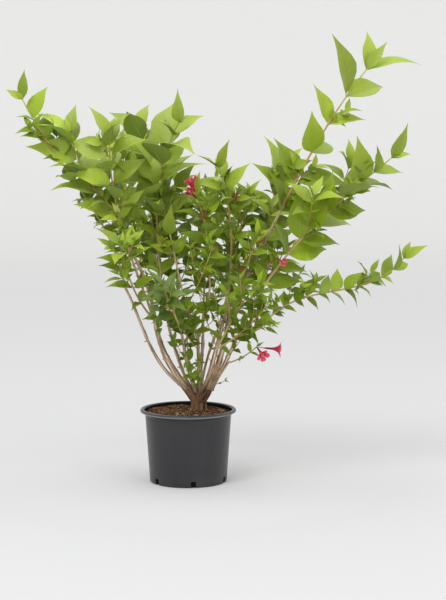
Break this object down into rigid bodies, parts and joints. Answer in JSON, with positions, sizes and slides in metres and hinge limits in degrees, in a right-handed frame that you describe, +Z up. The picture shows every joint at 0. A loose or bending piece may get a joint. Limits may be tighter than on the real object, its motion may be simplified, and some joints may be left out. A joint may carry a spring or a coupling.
{
  "type": "potted weigela shrub",
  "caption": "Open, many-stemmed flowering shrub with arching leafy shoots and a few late flowers, growing in a round tapered nursery pot.",
  "frame": {"origin": "centre of the pot's flat underside", "axes": "+Z up, +X towards the low arching shoot, -Y the front"},
  "size_m": [0.9695, 0.5038, 1.056],
  "materials": {
    "pot": "charcoal moulded plastic, semi-matte",
    "soil": "bark and peat compost, rough",
    "old_bark": "dark fibrous old bark",
    "bark": "pinkish tan bark with grey streaks",
    "foliage": "mid green leaves, lime at the tips, soft sheen"
  },
  "bodies": {
    "root": {"pot": "pot", "soil": "soil", "stool": "old_bark", "stem_far_left": "bark", "stem_left": "bark", "stem_left_back": "bark", "stem_middle_thin": "bark", "stem_middle": "bark", "stem_middle_left_fork": "bark", "stem_middle_right_fork": "bark", "stem_grey": "bark", "stem_right_inner": "bark", "stem_right": "bark", "stem_right_outer": "bark", "stem_right_low": "bark", "stem_flower": "bark", "stem_back_left": "bark", "stem_back": "bark", "stem_back_right": "bark", "stem_front_left": "bark", "stem_front_right": "bark", "leaves_far_left": "foliage", "leaves_left_outer": "foliage", "leaves_left_front": "foliage", "leaves_left_low": "foliage", "leaves_left_back": "foliage", "leaves_tall_left": "foliage", "leaves_low_middle": "foliage", "leaves_middle_left": "foliage", "leaves_middle_front": "foliage", "leaves_middle_top": "foliage", "leaves_middle_back": "foliage", "leaves_right_middle": "foliage", "leaves_tall_right": "foliage", "leaves_right_front": "foliage", "leaves_right_outer": "foliage", "leaves_right_low": "foliage", "flower_twig": "foliage", "leaves_back_left_high": "foliage", "leaves_back_left_low": "foliage", "leaves_back_high": "foliage", "leaves_back_low": "foliage", "leaves_back_right_high": "foliage", "leaves_back_right_low": "foliage", "leaves_front_left": "foliage", "leaves_front_right": "foliage", "leaves_front_right_low": "foliage"}
  },
  "joints": []
}
